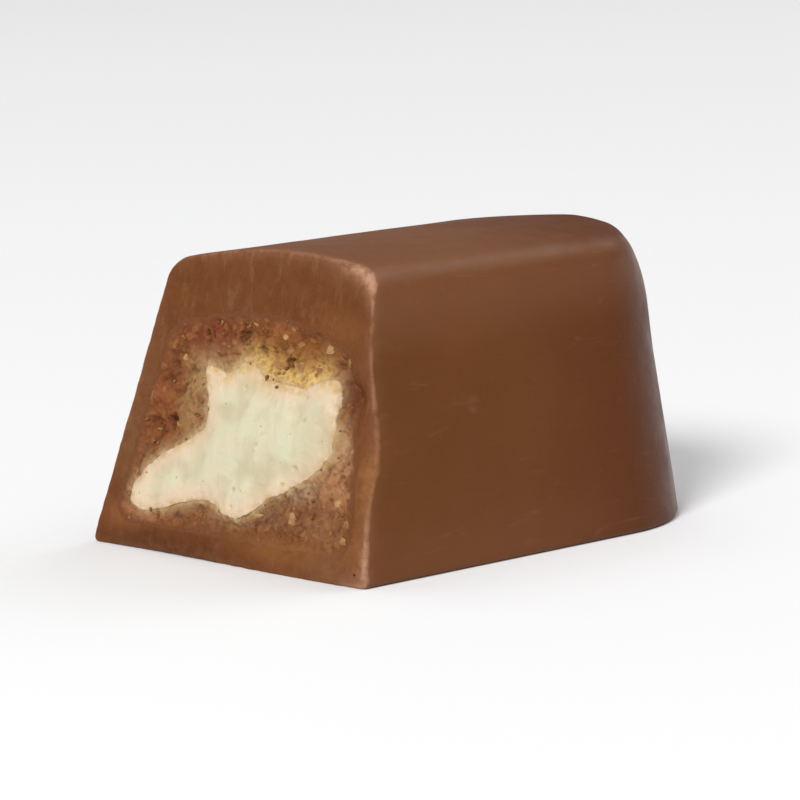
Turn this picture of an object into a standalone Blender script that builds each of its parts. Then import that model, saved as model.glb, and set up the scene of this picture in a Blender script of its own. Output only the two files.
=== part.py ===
"""A moulded chocolate praline cut across with a knife, standing on its base.

Three solids nest in each other: a chocolate shell, a nut praline filling in the shell's pocket, and a
lobed cream centre that runs through the filling. +Z is up, +Y runs from the cut face to the moulded
end, and the origin is the middle of the base. Lengths are in metres.
"""

import math

import bmesh
import bpy
from mathutils import Vector, noise

MM = 0.001

# Moulded outside
BASE_WIDTH = 20.0 * MM
LENGTH = 32.1 * MM
HEIGHT = 16.9 * MM
SIDE_DRAFT = math.radians(9.65)
END_DRAFT = math.radians(6.3)
CORNER_RADIUS = 9.2 * MM
DOME_RISE = 0.85 * MM
SHOULDER_RADIUS = 1.8 * MM
CROWN_X = 1.5 * MM  # the dome is highest a little to the right of the middle
END_ROUND_DEPTH = 4.1 * MM
END_ROUND_HEIGHT = 4.7 * MM
FOOT_RADIUS = 0.35 * MM

# Filling: its floor, roof and wall are the shell's thickness
FLOOR = 1.4 * MM
ROOF = 3.5 * MM
WALL = 1.15 * MM
FILLING_RISE = 1.3 * MM
FILLING_SHOULDER = 2.2 * MM
FILLING_FOOT = 1.2 * MM
GAP = 0.3 * MM

# Cream: a lobed outline seen from the cut face, as (x, z), and how far it runs back
CREAM_OUTLINE = [
    (-3.5, 10.7), (-2.2, 10.0), (-0.8, 10.8), (1.2, 10.1), (4.0, 9.9), (5.7, 10.8), (6.05, 8.8),
    (6.2, 6.8), (4.7, 5.1), (2.3, 3.75), (0.3, 2.5), (-2.3, 3.15), (-4.6, 2.7), (-6.6, 1.95),
    (-7.7, 3.0), (-6.4, 4.9), (-3.9, 6.3), (-2.95, 7.8),
]
CREAM_MIDDLE = (0.5 * MM, 6.4 * MM)
CREAM_END = 5.0 * MM
CREAM_TAPER = 0.25

# Knife cut: turned a little in plan, leaning back, and uneven where the filling crumbles
CUT_YAW = math.radians(4.55)
CUT_LEAN = math.radians(12.7)
SCOOP_DEPTH = 0.75 * MM
SCOOP_AT = (9.4 * MM, 7.2 * MM)
SCOOP_SPREAD = (2.4 * MM, 2.8 * MM)
PIT_DEPTH = 0.9 * MM
PIT_AT = (6.8 * MM, 9.6 * MM)
PIT_SPREAD = (0.8 * MM, 0.9 * MM)
CRUMB_HEIGHT = 0.45 * MM
CRUMB_SIZE = 1.5 * MM
FILLING_RECESS = 0.1 * MM
SWELL_HEIGHT = 0.35 * MM
SWELL_AT = (1.5 * MM, 6.8 * MM)
SWELL_SPREAD = (4.5 * MM, 3.6 * MM)
KNIFE_MARGIN = 2.0 * MM
KNIFE_CELL = 0.9 * MM

RUN_OUT = 6.0 * MM  # how far each form runs on past the cut before the knife trims it
ARC_STEPS = 12
FOOT_STEPS = (0.0, 0.15, 0.5, 1.0)
DOME_STEPS = 14
CROWN_SHARE = 0.07  # how narrow the strip is that closes the dome
MERGE = 0.01 * MM
SHARP_ANGLE = math.radians(35)


def clear_scene():
    for thing in list(bpy.data.objects):
        bpy.data.objects.remove(thing, do_unlink=True)


def new_collection(name):
    collection = bpy.data.collections.new(name)
    bpy.context.scene.collection.children.link(collection)
    return collection


def food_material(name, colour, roughness, subsurface):
    """A Principled material; colour is linear RGB."""
    material = bpy.data.materials.new(name)
    material.use_nodes = True
    shader = material.node_tree.nodes["Principled BSDF"]
    shader.inputs["Base Color"].default_value = (*colour, 1.0)
    shader.inputs["Roughness"].default_value = roughness
    shader.inputs["Metallic"].default_value = 0.0
    shader.inputs["Subsurface Weight"].default_value = subsurface
    shader.inputs["Subsurface Scale"].default_value = MM
    return material


def new_object(name, shape, collection):
    thing = bpy.data.objects.new(name, shape)
    collection.objects.link(thing)
    return thing


def object_from(bm, name, collection):
    bmesh.ops.recalc_face_normals(bm, faces=bm.faces)
    mesh = bpy.data.meshes.new(name)
    bm.to_mesh(mesh)
    bm.free()
    return new_object(name, mesh, collection)


def dip(x, z, centre, spread):
    """A bell from 0 to 1, round centre, as wide as spread each way."""
    return math.exp(-(((x - centre[0]) / spread[0]) ** 2) - ((z - centre[1]) / spread[1]) ** 2)


class Loaf:
    """The moulded loaf form, drawn in by inset, between the heights low and high."""

    def __init__(self, low, high, inset, rise, radius, crown, foot):
        self.low = low
        self.high = high
        self.inset = inset
        self.rise = rise
        self.radius = radius
        self.foot = foot
        self.sides = [(offset, *self.shoulder(offset)) for offset in (crown, -crown)]

    def foot_inset(self, z):
        share = max(0.0, 1.0 - (z - self.low) / self.foot)
        return self.foot * (1.0 - math.sqrt(1.0 - share * share))

    def wall(self, z):
        return BASE_WIDTH / 2 - self.inset - z * math.tan(SIDE_DRAFT)

    def shoulder(self, crown):
        """The circle between a side's wall and the dome: its centre, and the height where it meets the dome.

        crown is how far the dome's highest line lies from the middle, towards that side.
        """
        span = self.wall(self.high - self.rise)
        near, far = 0.0, 2.0 * span
        for _ in range(60):
            out = (near + far) / 2
            slope = 2 * self.rise * out / span**2
            upright = 1.0 / math.hypot(slope, 1.0)
            x = crown + out - self.radius * slope * upright
            z = self.high - self.rise * (out / span) ** 2 - self.radius * upright
            if (self.wall(z) - x) * math.cos(SIDE_DRAFT) > self.radius:
                near = out
            else:
                far = out
        return x, z, z + self.radius * upright

    def reaches(self, z):
        """How far the right side and the left side reach from the middle at height z."""
        found = []
        for crown, x, centre, meets in self.sides:
            if z < centre + self.radius * math.sin(SIDE_DRAFT):
                reach = self.wall(z)
            elif z < meets:
                reach = x + math.sqrt(self.radius**2 - (z - centre) ** 2)
            else:
                span = self.wall(self.high - self.rise)
                reach = crown + span * math.sqrt((self.high - z) / self.rise)
            found.append(reach - self.foot_inset(z))
        return found

    def end_y(self, z):
        share = max(0.0, 1.0 - (self.high - z) / END_ROUND_HEIGHT)
        rounding = END_ROUND_DEPTH * (1.0 - math.sqrt(1.0 - share * share))
        return LENGTH / 2 - self.inset - z * math.tan(END_DRAFT) - rounding - self.foot_inset(z)

    def corner(self, z):
        """How far the outline's rounded corners run across and along at height z."""
        half = sum(self.reaches(z)) / 2
        across = min(CORNER_RADIUS - 0.5 * (BASE_WIDTH / 2 - half), half)
        edge = self.high - END_ROUND_HEIGHT
        if z <= edge:
            return across, across
        return across, self.corner(edge)[1] + self.end_y(z) - self.end_y(edge)

    def levels(self):
        """Heights from the floor up: close together round the foot and towards the crown."""
        foot = [self.low + self.foot * share for share in FOOT_STEPS]
        dome = []
        for step in range(DOME_STEPS + 1):
            left = 1.0 - (1.0 - CROWN_SHARE) * step / DOME_STEPS
            dome.append(self.high - END_ROUND_HEIGHT * left**2)
        return foot + dome

    def ring(self, z, front):
        """The outline at height z: square in front, with rounded corners at the far end."""
        right, left = self.reaches(z)
        across, along = self.corner(z)
        points = [Vector((right, front, z))]
        for x, start in ((right - across, 0.0), (across - left, math.pi / 2)):
            centre = Vector((x, self.end_y(z) - along, z))
            for step in range(ARC_STEPS + 1):
                turn = start + math.pi / 2 * step / ARC_STEPS
                points.append(centre + Vector((across * math.cos(turn), along * math.sin(turn), 0.0)))
        points.append(Vector((-left, front, z)))
        return points

    def build(self, name, collection, run_out):
        """Lofts the rings into one closed mesh that starts run_out in front of the part."""
        bm = bmesh.new()
        front = -LENGTH / 2 - run_out
        loops = [[bm.verts.new(point) for point in self.ring(z, front)] for z in self.levels()]
        for lower, upper in zip(loops, loops[1:]):
            for i in range(len(lower)):
                j = (i + 1) % len(lower)
                bm.faces.new((lower[i], lower[j], upper[j], upper[i]))
        bm.faces.new(loops[0])
        bm.faces.new(loops[-1])
        bmesh.ops.remove_doubles(bm, verts=bm.verts, dist=MERGE)
        return object_from(bm, name, collection)


def cut_surface(x, z, recess, crumb, swell):
    """y of the knife cut at (x, z); crumb roughens it and swell pushes its middle forward."""
    front = -LENGTH / 2 + BASE_WIDTH / 2 * math.tan(CUT_YAW)
    plane = front + x * math.tan(CUT_YAW) + z * math.tan(CUT_LEAN)
    scoop = SCOOP_DEPTH * dip(x, z, SCOOP_AT, SCOOP_SPREAD)
    pit = PIT_DEPTH * dip(x, z, PIT_AT, PIT_SPREAD)
    grain = crumb * noise.noise(Vector((x, z, 0.0)) / CRUMB_SIZE)
    return plane + recess + scoop + pit + grain - swell * dip(x, z, SWELL_AT, SWELL_SPREAD)


def knife(name, collection, recess=0.0, crumb=0.0, swell=0.0):
    """A block that takes away all in front of the cut surface."""
    width = BASE_WIDTH + 2 * KNIFE_MARGIN
    height = HEIGHT + 2 * KNIFE_MARGIN
    columns, rows = round(width / KNIFE_CELL), round(height / KNIFE_CELL)
    bm = bmesh.new()
    bmesh.ops.create_grid(bm, x_segments=columns, y_segments=rows, size=0.5)
    for vert in bm.verts:
        x = vert.co.x * width
        z = vert.co.y * height + HEIGHT / 2
        vert.co = (x, cut_surface(x, z, recess, crumb, swell), z)
    front = bmesh.ops.extrude_face_region(bm, geom=bm.faces[:])["geom"]
    for piece in front:
        if isinstance(piece, bmesh.types.BMVert):
            piece.co.y = -LENGTH / 2 - 2 * RUN_OUT
    return object_from(bm, name, collection)


def cream_prism(name, collection, grow, back):
    """The lobed outline as a smooth closed curve, extruded along Y and drawn in towards the back."""
    front = -LENGTH / 2 - RUN_OUT
    curve = bpy.data.curves.new(name + "_outline", "CURVE")
    curve.dimensions = "2D"
    curve.fill_mode = "BOTH"
    curve.resolution_u = 4
    curve.offset = grow
    curve.extrude = (back - front) / 2
    spline = curve.splines.new("BEZIER")
    spline.bezier_points.add(len(CREAM_OUTLINE) - 1)
    for point, (x, z) in zip(spline.bezier_points, CREAM_OUTLINE):
        point.co = (x * MM, z * MM, 0)
        point.handle_left_type = point.handle_right_type = "AUTO"
    spline.use_cyclic_u = True
    outline = new_object(name + "_outline", curve, collection)
    bpy.context.view_layer.update()
    depsgraph = bpy.context.evaluated_depsgraph_get()
    mesh = bpy.data.meshes.new_from_object(outline.evaluated_get(depsgraph))
    bpy.data.objects.remove(outline, do_unlink=True)
    bm = bmesh.new()
    bm.from_mesh(mesh)
    bpy.data.meshes.remove(mesh)
    bmesh.ops.remove_doubles(bm, verts=bm.verts, dist=MERGE)
    for vert in bm.verts:
        at_back = vert.co.z > 0
        keep = 1.0 - CREAM_TAPER if at_back else 1.0
        x, z = (middle + (here - middle) * keep for here, middle in zip(vert.co.xy, CREAM_MIDDLE))
        vert.co = (x, back if at_back else front, z)
    return object_from(bm, name, collection)


def cut_away(thing, cutter):
    modifier = thing.modifiers.new(cutter.name, "BOOLEAN")
    modifier.operation = "DIFFERENCE"
    modifier.solver = "EXACT"
    modifier.object = cutter


def hide(cutters):
    for thing in cutters.objects:
        thing.hide_render = True
        thing.display_type = "WIRE"


def finish(thing, material):
    thing.data.materials.append(material)
    thing.data.shade_smooth()
    thing.data.set_sharp_from_angle(angle=SHARP_ANGLE)


def main():
    clear_scene()
    part = new_collection("cut_praline")
    cutters = new_collection("cutters")
    chocolate = food_material("milk_chocolate", (0.19, 0.075, 0.028), 0.38, 0.1)
    praline = food_material("nut_praline", (0.27, 0.095, 0.033), 0.7, 0.1)
    cream = food_material("ivory_cream", (0.74, 0.64, 0.45), 0.55, 0.3)

    outside = Loaf(0.0, HEIGHT, 0.0, DOME_RISE, SHOULDER_RADIUS, CROWN_X, FOOT_RADIUS)
    roof = HEIGHT - ROOF
    inside = Loaf(FLOOR, roof, WALL, FILLING_RISE, FILLING_SHOULDER, 0.0, FILLING_FOOT)
    pocket = Loaf(
        FLOOR - GAP, roof + GAP, WALL - GAP, FILLING_RISE, FILLING_SHOULDER, 0.0, FILLING_FOOT
    )

    shell = outside.build("chocolate_shell", part, RUN_OUT)
    filling = inside.build("praline_filling", part, RUN_OUT)
    centre = cream_prism("cream_centre", part, 0.0, CREAM_END)

    cut_away(shell, pocket.build("shell_pocket", cutters, 2 * RUN_OUT))
    cut_away(shell, knife("shell_knife", cutters))
    cut_away(filling, cream_prism("cream_pocket", cutters, GAP, CREAM_END + GAP))
    cut_away(filling, knife("filling_knife", cutters, FILLING_RECESS, CRUMB_HEIGHT))
    cut_away(centre, knife("cream_knife", cutters, swell=SWELL_HEIGHT))

    finish(shell, chocolate)
    finish(filling, praline)
    finish(centre, cream)
    hide(cutters)


main()
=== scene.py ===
"""A cut milk chocolate praline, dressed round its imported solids.

The shell, the filling and the cream are modelled again as fine meshes: the moulded skin with its soft
waves, and the knife cut with its rounded rim, drag marks, crumbs and pits. Nut pieces lie flush in the
cut filling. +Z is up, the cut faces -Y, and lengths are in metres, all as in the solids.
"""

import math

import bmesh
import bpy
import numpy as np
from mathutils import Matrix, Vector, noise


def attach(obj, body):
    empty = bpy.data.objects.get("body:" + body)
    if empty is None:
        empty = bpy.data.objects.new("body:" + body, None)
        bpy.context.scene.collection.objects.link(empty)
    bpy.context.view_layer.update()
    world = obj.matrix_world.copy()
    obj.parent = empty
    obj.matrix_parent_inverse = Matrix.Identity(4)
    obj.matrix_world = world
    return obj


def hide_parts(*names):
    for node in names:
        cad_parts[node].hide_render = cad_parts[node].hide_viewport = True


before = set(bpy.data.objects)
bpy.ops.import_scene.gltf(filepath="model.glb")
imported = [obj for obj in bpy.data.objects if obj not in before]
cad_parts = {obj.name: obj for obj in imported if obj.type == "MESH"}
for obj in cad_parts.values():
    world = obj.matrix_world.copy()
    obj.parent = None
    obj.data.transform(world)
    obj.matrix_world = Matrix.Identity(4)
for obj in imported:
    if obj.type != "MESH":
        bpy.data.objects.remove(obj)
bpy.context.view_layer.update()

MM = 0.001
BODY = "root"

# Moulded outside, as in the solids
BASE_WIDTH = 20.0 * MM
LENGTH = 32.1 * MM
HEIGHT = 16.9 * MM
SIDE_DRAFT = math.radians(9.65)
END_DRAFT = math.radians(6.3)
CORNER_RADIUS = 9.2 * MM
CORNER_TIGHTENING = 0.5
DOME_RISE = 0.85 * MM
SHOULDER_RADIUS = 1.8 * MM
CROWN_X = 1.5 * MM
END_ROUND_DEPTH = 4.1 * MM
END_ROUND_HEIGHT = 4.7 * MM
FOOT_RADIUS = 0.35 * MM

# Filling and cream, as in the solids
FLOOR = 1.4 * MM
ROOF = 3.5 * MM
WALL = 1.15 * MM
FILLING_RISE = 1.3 * MM
FILLING_SHOULDER = 2.2 * MM
FILLING_FOOT = 1.2 * MM
CREAM_OUTLINE = [
    (-3.5, 10.7), (-2.2, 10.0), (-0.8, 10.8), (1.2, 10.1), (4.0, 9.9), (5.7, 10.8), (6.05, 8.8),
    (6.2, 6.8), (4.7, 5.1), (2.3, 3.75), (0.3, 2.5), (-2.3, 3.15), (-4.6, 2.7), (-6.6, 1.95),
    (-7.7, 3.0), (-6.4, 4.9), (-3.9, 6.3), (-2.95, 7.8),
]
CREAM_MIDDLE = (0.5 * MM, 6.4 * MM)
CREAM_END = 5.0 * MM
CREAM_TAPER = 0.25

# Knife cut, as in the solids
CUT_YAW = math.radians(4.55)
CUT_LEAN = math.radians(12.7)
SCOOP_DEPTH = 0.75 * MM
SCOOP_AT = (9.4 * MM, 7.2 * MM)
SCOOP_SPREAD = (2.4 * MM, 2.8 * MM)
PIT_DEPTH = 0.9 * MM
PIT_AT = (6.8 * MM, 9.6 * MM)
PIT_SPREAD = (0.8 * MM, 0.9 * MM)
CRUMB_HEIGHT = 0.45 * MM
CRUMB_SIZE = 1.5 * MM
FILLING_RECESS = 0.1 * MM
SWELL_HEIGHT = 0.35 * MM
SWELL_AT = (1.5 * MM, 6.8 * MM)
SWELL_SPREAD = (4.5 * MM, 3.6 * MM)

# Mesh fineness
SECTION_STEP = 0.15 * MM
SKIN_STEP = 0.34 * MM
FIRST_STEP = 0.08 * MM
STEP_GROWTH = 1.25
STRAIGHT_RUN = 23 * MM
ARC_STEPS = 38
END_STEPS = 6
RIM_STEPS = 6
SHELL_RINGS = 34
SHELL_EASING = 1.15
FILLING_RAYS = 680
FILLING_RINGS = 84
CREAM_RINGS = 52
CREAM_EASING = 1.6
CREAM_CURVE_POINTS = 1440
BASE_RINGS = 8
WELD = 0.006 * MM
CROWN_SHARE = 0.004
DENSE_HEIGHTS = 6000
HALVINGS = 34
SECTION_MIDDLE = (0.0, 7.0 * MM)
POCKET_DEPTHS = (0.02, 0.08, 0.2, 0.4, 0.6, 0.75, 0.86, 0.93, 0.97, 0.99, 0.998)
CREAM_DEPTHS = (0.05, 0.15, 0.4, 0.7, 1.0)
OVERLAP = 0.06 * MM
SHARP_ANGLE = math.radians(50)
CHIP_SHARP_ANGLE = math.radians(32)

# Camera: where the photograph was taken from, aimed at the middle of the piece
CAMERA_AT = (178.2 * MM, -178.4 * MM, 51.0 * MM)
CAMERA_AIM = (-0.2 * MM, -1.7 * MM, 7.4 * MM)
LENS = 205.0
CLIP_START = 5 * MM
CLIP_END = 4.0


# ---- noise over arrays of points

AXIS_PRIMES = (73856093, 19349663, 83492791)
SEED_PRIME = 374761393
MIX_PRIMES = (668265263, 1274126177)
MIX_SHIFTS = (15, 9)
HASH_MASK = 0x7FFFFFFF
SPOT_STEPS = (97, 89, 83)
OWN_STEPS = 1009
NOISE_SCALE = 1.5
DIRECTIONS = np.random.default_rng(7).normal(size=(256, 3))
DIRECTIONS /= np.linalg.norm(DIRECTIONS, axis=1, keepdims=True)


def scrambled(cells, seed):
    """A repeatable whole number for each cell."""
    mixed = np.full(cells.shape[:-1], seed * SEED_PRIME % HASH_MASK, np.int64)
    for axis, prime in enumerate(AXIS_PRIMES):
        mixed ^= cells[..., axis] * prime
    mixed = (mixed & HASH_MASK) * MIX_PRIMES[0]
    mixed = (mixed ^ (mixed >> MIX_SHIFTS[0])) & HASH_MASK
    return (mixed * MIX_PRIMES[1] >> MIX_SHIFTS[1]) & HASH_MASK


def gradient_noise(points, seed):
    """Smooth noise from about -1 to 1, its features one unit wide."""
    cells = np.floor(points).astype(np.int64)
    inside = points - cells
    fade = inside**3 * (inside * (inside * 6 - 15) + 10)
    total = np.zeros(points.shape[:-1])
    for corner in np.ndindex(2, 2, 2):
        offset = np.array(corner)
        gradient = DIRECTIONS[scrambled(cells + offset, seed) % len(DIRECTIONS)]
        weight = np.prod(np.where(offset, fade, 1 - fade), axis=-1)
        total += weight * np.sum(gradient * (inside - offset), axis=-1)
    return NOISE_SCALE * total


def layered_noise(points, layers, seed, gain=0.5):
    """Noise in ever finer layers, each gain times as strong as the last."""
    return sum(gain**k * gradient_noise(points * 2**k, seed + k) for k in range(layers))


def columns(*values):
    """Arrays side by side, as the columns of one."""
    return np.stack(values, -1)


def cell_noise(points, seed):
    """Distance to the nearest spot, of one strewn in each cell, and that spot's own number, 0 to 1."""
    cells = np.floor(points).astype(np.int64)
    nearest = np.full(points.shape[:-1], np.inf)
    own = np.zeros(points.shape[:-1])
    a, b, c = SPOT_STEPS
    for step in np.ndindex(3, 3, 3):
        cell = cells + np.array(step) - 1
        number = scrambled(cell, seed)
        spot = cell + columns(number % a, number // a % b, number // (a * b) % c) / SPOT_STEPS
        distance = np.linalg.norm(points - spot, axis=-1)
        own = np.where(distance < nearest, number % OWN_STEPS / OWN_STEPS, own)
        nearest = np.minimum(nearest, distance)
    return nearest, own


def flat_points(x, z, size, stretch=(1.0, 1.0)):
    """The cut's points in units of size millimetres; stretch draws the features out."""
    size = size * MM
    return columns(x / size / stretch[0], np.zeros_like(x), z / size / stretch[1])


def cut_noise(x, z, height, size, layers, seed, stretch=(1.0, 1.0), gain=0.5):
    """Layered noise over the cut, its features size millimetres wide."""
    return height * layered_noise(flat_points(x, z, size, stretch), layers, seed, gain)


def smooth_step(low, high, value):
    share = np.clip((value - low) / (high - low), 0.0, 1.0)
    return share * share * (3 - 2 * share)


def cut_spots(x, z, height, size, wide, narrow, bare, seed, ragged=0.0):
    """Spots strewn over the cut, rising to height from wide in to narrow; the share bare has none."""
    near, own = cell_noise(flat_points(x, z, size), seed)
    return height * smooth_step(wide, narrow, near + ragged) * (own > bare)


def rounding(share):
    """How far a quarter circle has drawn in, from 0 to 1, at a share of the way along it."""
    return 1.0 - np.sqrt(1.0 - np.clip(share, 0.0, 1.0) ** 2)


def bell(x, z, centre, spread):
    """A bell from 0 to 1, round centre, as wide as spread each way."""
    return np.exp(-(((x - centre[0]) / spread[0]) ** 2) - ((z - centre[1]) / spread[1]) ** 2)


def patch(x, z, centre, spread):
    """A bell whose centre and spread are given in millimetres."""
    return bell(x / MM, z / MM, centre, spread)


def summed(x, z, patches):
    return sum(amount * patch(x, z, centre, spread) for centre, spread, amount in patches)


# ---- the forms


def flat(points):
    """x and z of points, from which the cut is worked out."""
    return points[..., 0], points[..., 2]


def around(middle, turns, reach):
    """x and z at a reach from middle, at each turn."""
    return middle[0] + reach * np.cos(turns), middle[1] + reach * np.sin(turns)


def bearing(middle, x, z):
    """The turn at which each (x, z) lies, seen from middle."""
    return np.arctan2(z - middle[1], x - middle[0])


def farthest(inside, turns):
    """How far each turn's ray stays inside, which inside tells of a reach."""
    near, far = np.zeros_like(turns), np.full_like(turns, BASE_WIDTH)
    for _ in range(HALVINGS):
        middle = (near + far) / 2
        held = inside(middle)
        near, far = np.where(held, middle, near), np.where(held, far, middle)
    return near


class Loaf:
    """The moulded loaf form, drawn in by inset, between the heights low and high."""

    def __init__(self, low, high, inset, rise, radius, crown, foot):
        self.low = low
        self.high = high
        self.inset = inset
        self.rise = rise
        self.radius = radius
        self.foot = foot
        self.sides = {side: (side * crown, *self.shoulder(side * crown)) for side in (1, -1)}

    def foot_inset(self, z):
        return self.foot * rounding(1.0 - (z - self.low) / self.foot)

    def wall(self, z):
        return BASE_WIDTH / 2 - self.inset - z * math.tan(SIDE_DRAFT)

    def shoulder(self, crown):
        """The circle between wall and dome: its centre, and the height where it meets the dome."""
        span = self.wall(self.high - self.rise)
        near, far = 0.0, 2.0 * span
        for _ in range(HALVINGS):
            out = (near + far) / 2
            slope = 2 * self.rise * out / span**2
            upright = 1.0 / math.hypot(slope, 1.0)
            x = crown + out - self.radius * slope * upright
            z = self.high - self.rise * (out / span) ** 2 - self.radius * upright
            if (self.wall(z) - x) * math.cos(SIDE_DRAFT) > self.radius:
                near = out
            else:
                far = out
        return x, z, z + self.radius * upright

    def side(self, z, side):
        """How far a side, 1 or -1, reaches from the middle at each height."""
        crown, x, centre, meets = self.sides[side]
        arc = x + np.sqrt(np.maximum(0.0, self.radius**2 - (z - centre) ** 2))
        span = self.wall(self.high - self.rise)
        dome = crown + span * np.sqrt(np.maximum(0.0, self.high - z) / self.rise)
        above = np.where(z < meets, arc, dome)
        reach = np.where(z < centre + self.radius * math.sin(SIDE_DRAFT), self.wall(z), above)
        return reach - self.foot_inset(z)

    def half_width(self, z):
        return (self.side(z, 1) + self.side(z, -1)) / 2

    def end_y(self, z):
        drawn_in = END_ROUND_DEPTH * rounding(1.0 - (self.high - z) / END_ROUND_HEIGHT)
        return LENGTH / 2 - self.inset - z * math.tan(END_DRAFT) - drawn_in - self.foot_inset(z)

    def corner_radius(self, z):
        """The radius of the outline's corners, less where the loaf is narrower."""
        half = self.half_width(z)
        return np.minimum(CORNER_RADIUS - CORNER_TIGHTENING * (BASE_WIDTH / 2 - half), half)

    def corner(self, z):
        """How far the outline's rounded corners run across and along at each height."""
        walls = np.minimum(z, self.high - END_ROUND_HEIGHT)
        return self.corner_radius(z), self.corner_radius(walls) + self.end_y(z) - self.end_y(walls)

    def heights(self, step):
        """Heights from the base to the crown, evenly spaced along the section's outline."""
        left = np.linspace(1.0, CROWN_SHARE, DENSE_HEIGHTS)
        dense = self.high - (self.high - self.low) * left**2
        run = np.append(0.0, np.cumsum(np.hypot(np.diff(dense), np.diff(self.half_width(dense)))))
        return np.interp(np.linspace(0.0, run[-1], round(run[-1] / step) + 1), run, dense)

    def holds(self, x, y, z):
        """Whether each point lies inside the form."""
        end, (across, along) = self.end_y(z), self.corner(z)
        corner = across * rounding((y - (end - along)) / along)
        between = (x <= self.side(z, 1) - corner) & (x >= corner - self.side(z, -1))
        return (z >= self.low) & (z < self.high) & (y <= end) & between

    def reach(self, turns, depth):
        """How far the section reaches from SECTION_MIDDLE at each turn, at a depth from 0, the cut, to 1."""

        def inside(reach):
            x, z = around(SECTION_MIDDLE, turns, reach)
            return self.holds(x, depth_y(self, x, z, depth), z)

        return farthest(inside, turns)


def depth_y(loaf, x, z, depth):
    """y at a share of the way from the cut to the loaf's far end."""
    front = cut_y(x, z)
    return front + depth * (loaf.end_y(np.clip(z, loaf.low, loaf.high)) - front)


def cut_y(x, z):
    """y of the knife cut at (x, z), without the fine relief."""
    front = -LENGTH / 2 + BASE_WIDTH / 2 * math.tan(CUT_YAW)
    scoop = SCOOP_DEPTH * bell(x, z, SCOOP_AT, SCOOP_SPREAD)
    pit = PIT_DEPTH * bell(x, z, PIT_AT, PIT_SPREAD)
    return front + x * math.tan(CUT_YAW) + z * math.tan(CUT_LEAN) + scoop + pit


def crumb(x, z):
    """The filling's coarse crumb, as in the solids."""
    places = columns(x, z, np.zeros_like(x)).reshape(-1, 3) / CRUMB_SIZE
    heights = np.array([noise.noise(Vector(place)) for place in places])
    return CRUMB_HEIGHT * heights.reshape(np.shape(x))


OUTSIDE = Loaf(0.0, HEIGHT, 0.0, DOME_RISE, SHOULDER_RADIUS, CROWN_X, FOOT_RADIUS)
INSIDE = Loaf(FLOOR, HEIGHT - ROOF, WALL, FILLING_RISE, FILLING_SHOULDER, 0.0, FILLING_FOOT)


# ---- meshes from patches


class Skin:
    """Collects patches of points, each with a value for every mask, and welds them into one mesh."""

    def __init__(self, *masks):
        self.masks = {name: [] for name in masks}
        self.points = []
        self.faces = []
        self.count = 0

    def add(self, points, masks):
        points = np.asarray(points).reshape(-1, 3)
        self.points.append(points)
        for name, values in self.masks.items():
            values.append(np.broadcast_to(np.ravel(masks.get(name, 0.0)), len(points)))
        numbers = self.count + np.arange(len(points))
        self.count += len(points)
        return numbers

    def grid(self, rows, wrap=False, **masks):
        """Rows of points, joined by quads; wrap joins each row's last point to its first."""
        rows = np.asarray(rows)
        numbers = self.add(rows, masks).reshape(rows.shape[:2])
        if wrap:
            numbers = np.hstack([numbers, numbers[:, :1]])
        sides = (numbers[:-1, :-1], numbers[:-1, 1:], numbers[1:, 1:], numbers[1:, :-1])
        self.faces += columns(*sides).reshape(-1, 4).tolist()

    def fan(self, loop, middle, **masks):
        """Triangles from a closed loop of points to one middle point."""
        numbers = self.add(np.vstack([loop, [middle]]), masks)
        ring, hub = numbers[:-1], numbers[-1]
        self.faces += [(a, b, hub) for a, b in zip(ring.tolist(), np.roll(ring, -1).tolist())]

    def weld(self, name):
        mesh = bpy.data.meshes.new(name)
        mesh.from_pydata(np.vstack(self.points).tolist(), [], self.faces)
        for mask, values in self.masks.items():
            attribute = mesh.attributes.new(mask, "FLOAT", "POINT")
            attribute.data.foreach_set("value", np.concatenate(values).astype(np.float32))
        bm = bmesh.new()
        bm.from_mesh(mesh)
        bmesh.ops.remove_doubles(bm, verts=bm.verts, dist=WELD)
        bmesh.ops.recalc_face_normals(bm, faces=bm.faces)
        bm.to_mesh(mesh)
        bm.free()
        mesh.shade_smooth()
        mesh.set_sharp_from_angle(angle=SHARP_ANGLE)
        return mesh


def read(values, field, kind=np.float32, width=1):
    """One field of a mesh's values, as an array."""
    numbers = np.empty(len(values) * width, kind)
    values.foreach_get(field, numbers)
    return numbers


def points_of(mesh):
    return read(mesh.vertices, "co", float, 3).reshape(-1, 3)


def normals_of(mesh):
    return read(mesh.vertex_normals, "vector", width=3).reshape(-1, 3)


def mask_of(mesh, name):
    return read(mesh.attributes[name].data, "value")


def set_mask(mesh, name, values):
    attribute = mesh.attributes.get(name) or mesh.attributes.new(name, "FLOAT", "POINT")
    attribute.data.foreach_set("value", np.asarray(values, np.float32))


def move_points(mesh, points):
    mesh.vertices.foreach_set("co", points.ravel())
    mesh.update()


def linked(name, data):
    """A new object of the scene."""
    made = bpy.data.objects.new(name, data)
    bpy.context.scene.collection.objects.link(made)
    return made


def piece_from(mesh, material, slot, *nodes):
    """A piece of the praline, which stands for the CAD nodes named."""
    piece = linked(mesh.name, mesh)
    mesh.materials.append(material)
    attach(piece, BODY)
    if nodes:
        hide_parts(*nodes)


# ---- the shell

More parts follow.
